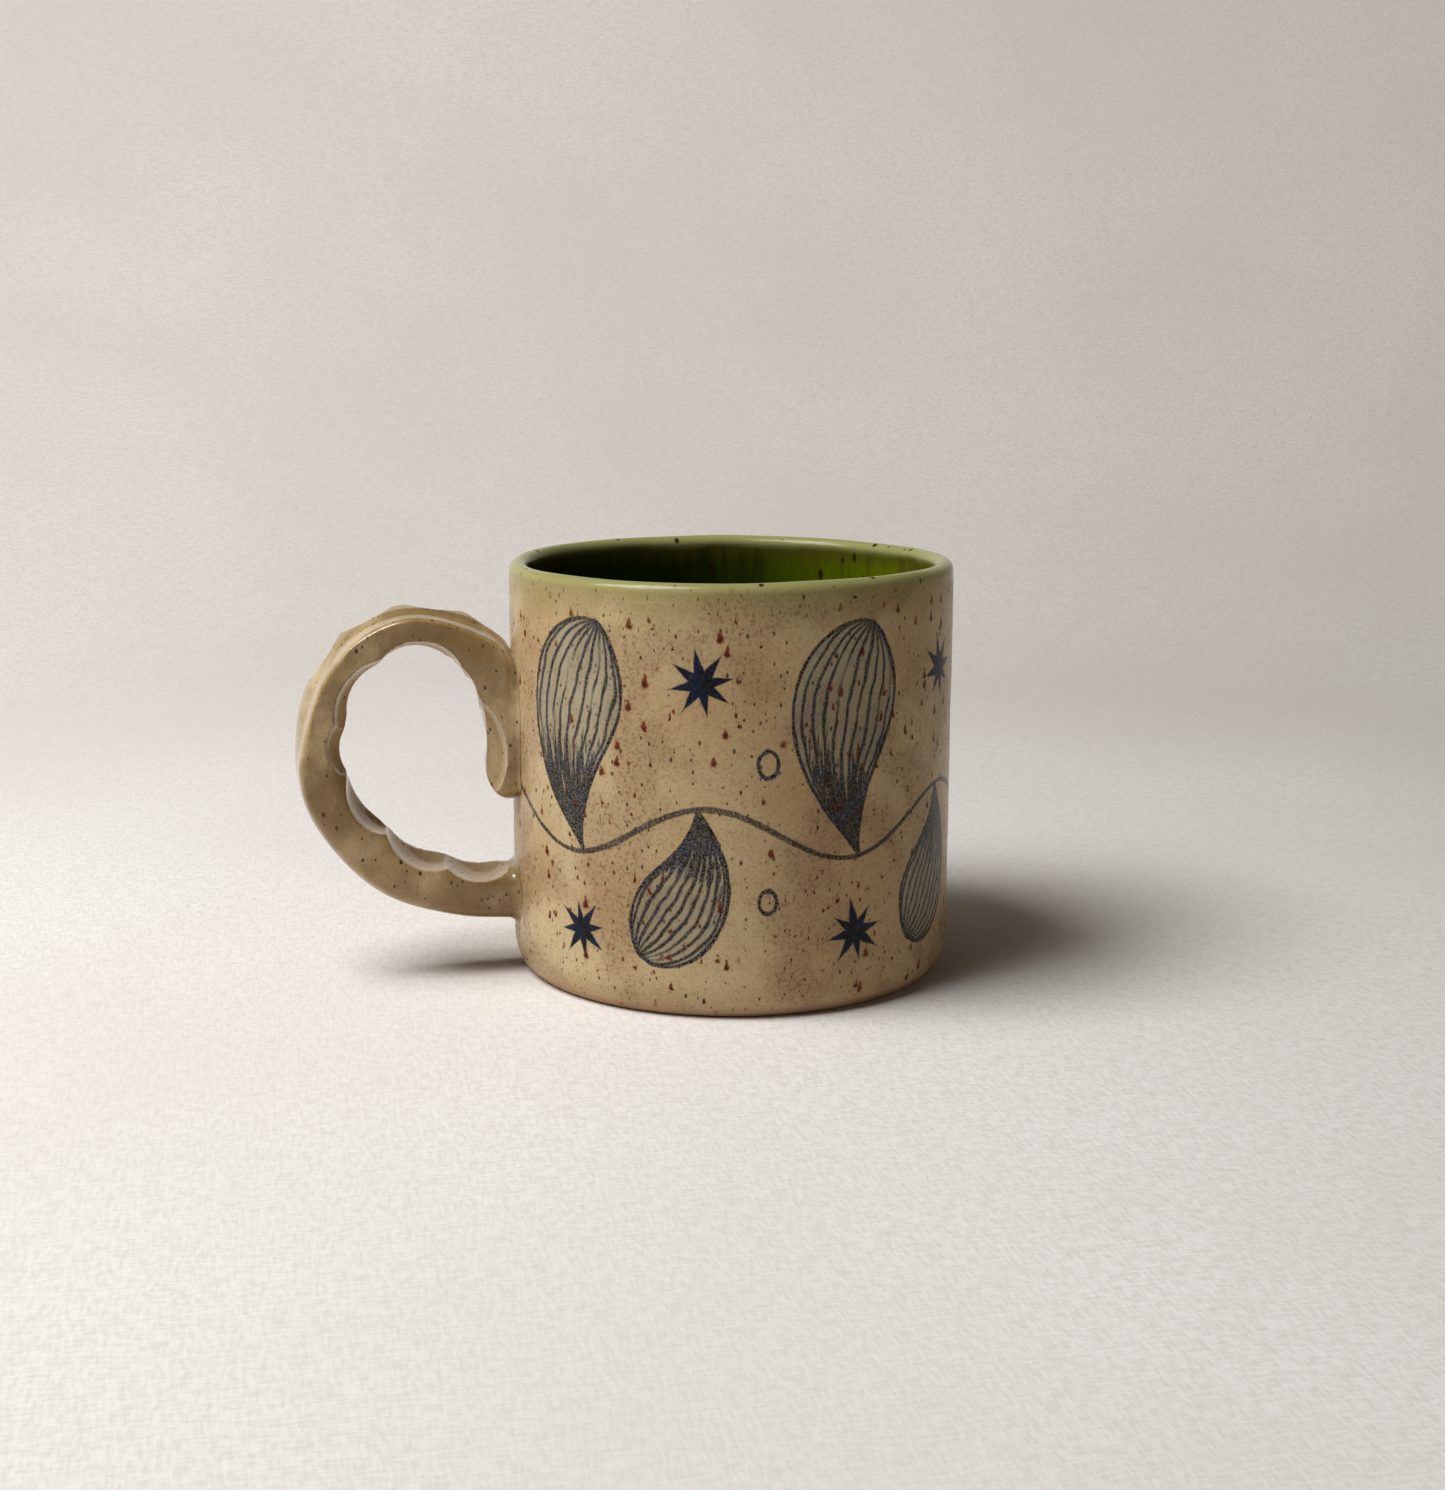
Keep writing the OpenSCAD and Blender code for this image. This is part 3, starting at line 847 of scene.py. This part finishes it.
def handle_skin(u, turns, coat=0.0):
    """The carved coil's surface in mm, a ring of points at each u, the direction away from
    its middle, the distance to the nearest scoop's rim and the depth carved away.

    The coil first swells and shrinks by up to 4 % along and round it. A scoop is a ball stretched
    across the handle: a point inside it moves towards the middle line until it is on the
    ball's far side, but never nearer than the least. Only deep scoops have a thin rim.
    """
    middle, away, reach = section(u, turns, coat)
    least = reach * 0.3
    run = u[:, None]
    swell = 0.022 * np.sin(1.9 * run + 2 * turns) + 0.02 * np.sin(3.1 * run - turns)
    reach = reach * (1 + swell)
    window, rim_w, deep = 2.5, 0.6, 0.8
    edge = np.full(reach.shape, 9.0)
    carved = np.zeros(reach.shape)
    for at, facing, across, ball, longer, depth in SCOOPS:
        heart, towards, far = section(np.array([at]), np.radians([facing]))
        centre = heart[0, 0] + (0, across, 0) + towards[0, 0] * (far[0, 0] + ball - depth)
        squeeze = np.array([1, 1 / longer, 1])
        grid = middle + away * reach[..., None]
        offset, way = (grid - centre) * squeeze, away * squeeze
        a, b = (way**2).sum(-1), (offset * way).sum(-1)
        apart = np.linalg.norm(offset, axis=-1)
        room = ((ball - coat) ** 2 - apart**2) * (np.abs(u - at) < window)[:, None]
        cut = np.where(room > 0, (b + np.sqrt(np.maximum(b * b + a * room, 0))) / a, 0)
        cut = np.clip(cut, 0, np.maximum(reach - least, 0))
        reach = reach - cut
        rim = np.abs(apart - ball + coat) / rim_w
        if depth > deep:
            edge = np.where(cut > 0, rim, np.minimum(edge, rim))
            carved = np.maximum(carved, cut)
    return middle + away * reach[..., None], away, edge, carved


turns = np.linspace(-pi, pi, 168, endpoint=False) + pi / 168
along_handle = np.linspace(0, last_knot, 580)
handle_grid, _, handle_edge, handle_carved = handle_skin(along_handle, turns, glaze_t)
handle_coat = skin("handle_clear_glaze", handle_grid * MM, poles=True)
store(handle_coat.data, "edge", handle_edge)
store(handle_coat.data, "carved", handle_carved)

core_grid = handle_skin(along_handle[::4], turns[::6])[0]
handle_core = skin("handle_coil", core_grid * MM, poles=True)


def join(name, start, stop, reach):
    """The slip about one end of the handle, in mm: the handle's own skin, just under its
    coat, until it comes within reach of the wall. There it flares sideways along the wall
    as a quarter circle does, like clay wiped into the corner with a finger."""
    u = np.linspace(start, stop, 150)
    grid, away, edge, carved = handle_skin(u, turns, glaze_t)
    from_axis = np.hypot(grid[..., 0], grid[..., 1])
    left = 1 - np.clip((from_axis - body_r) / reach, 0, 1)
    flare = reach * (1 - np.sqrt(1 - left**2))
    outward = grid * (1, 1, 0) / from_axis[..., None]
    sideways = away - (away * outward).sum(-1, keepdims=True) * outward
    sideways /= np.linalg.norm(sideways, axis=-1, keepdims=True) + 0.15
    grid = grid + sideways * flare[..., None] - away * 0.03
    made = skin(name, grid * MM, poles=True)
    store(made.data, "edge", edge)
    store(made.data, "carved", carved)
    return made


lower_join = join("lower_slip_join", 0.25, 1.6, 2.0)
upper_join = join("upper_slip_join", 11.2, last_knot, 2.0)

# The third colour is the pale rim of a scoop: thin glaze and a painted highlight.
OLIVE, SCOOPED, THIN_GLAZE_AND_HIGHLIGHT = pigment(122, 94, 38), pigment(184, 158, 122), pigment(220, 202, 170)

coil = Recipe("clear_glaze_on_handle")
coil_where = coil.place()
coil_colour, coil_specks = iron_clay(coil, tears=False)
edge = coil.stored("edge", "Fac")
scooped = coil.stored("carved", "Fac")
pooled = coil.rise(coil.noise(coil_where, 0.11, 3), 0.3, 0.62) * coil.rise(scooped, 0.5, 0.05)
coil_colour = coil.mix(0.12 + pooled * 0.55, coil_colour, OLIVE)
coil_colour = coil.mix(coil.rise(scooped, 0.1, 0.9) * 0.35, coil_colour, SCOOPED)
grit = coil.rise(coil.noise(coil_where, 3.6, 3, 0.8), 0.5, 0.7)
coil_colour = coil.mix(grit * (0.1 + pooled * 0.5), coil_colour, CLAY_SHADE)
# Pale lines on the rims of the deep scoops: thin glaze on the sharp edges, together with a painted
# highlight.
rim_glaze_and_highlight = coil.rise(edge + (coil.noise(coil_where, 0.8, 2) - 0.5) * 0.3, 0.4, 0.05)
coil_colour = coil.mix(rim_glaze_and_highlight * coil.rise(scooped, -0.05, 0.3) * 0.6, coil_colour, THIN_GLAZE_AND_HIGHLIGHT)
coil_colour = coil.mix(coil_specks * 0.8, coil_colour, PINPOINT)
coil_ripple = coil.noise(coil_where, 0.4, 3) * 0.8 + coil.noise(coil_where, 2.4, 2) * 0.2
coil_glaze = coil.finish(
    coil_colour, 0.22 + coil.noise(coil_where, 0.5, 2) * 0.12, coil_ripple, 0.09,
    {"Specular IOR Level": 0.15, "Coat Weight": 0.9, "Coat Roughness": 0.03},
)
for piece in (handle_coat, lower_join, upper_join):
    piece.data.materials.append(coil_glaze)
    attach(piece, "root")
handle_core.data.materials.append(bare_clay)
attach(handle_core, "root")
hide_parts("handle_glaze")
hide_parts("handle")
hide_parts("lower_join")
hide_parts("upper_join")
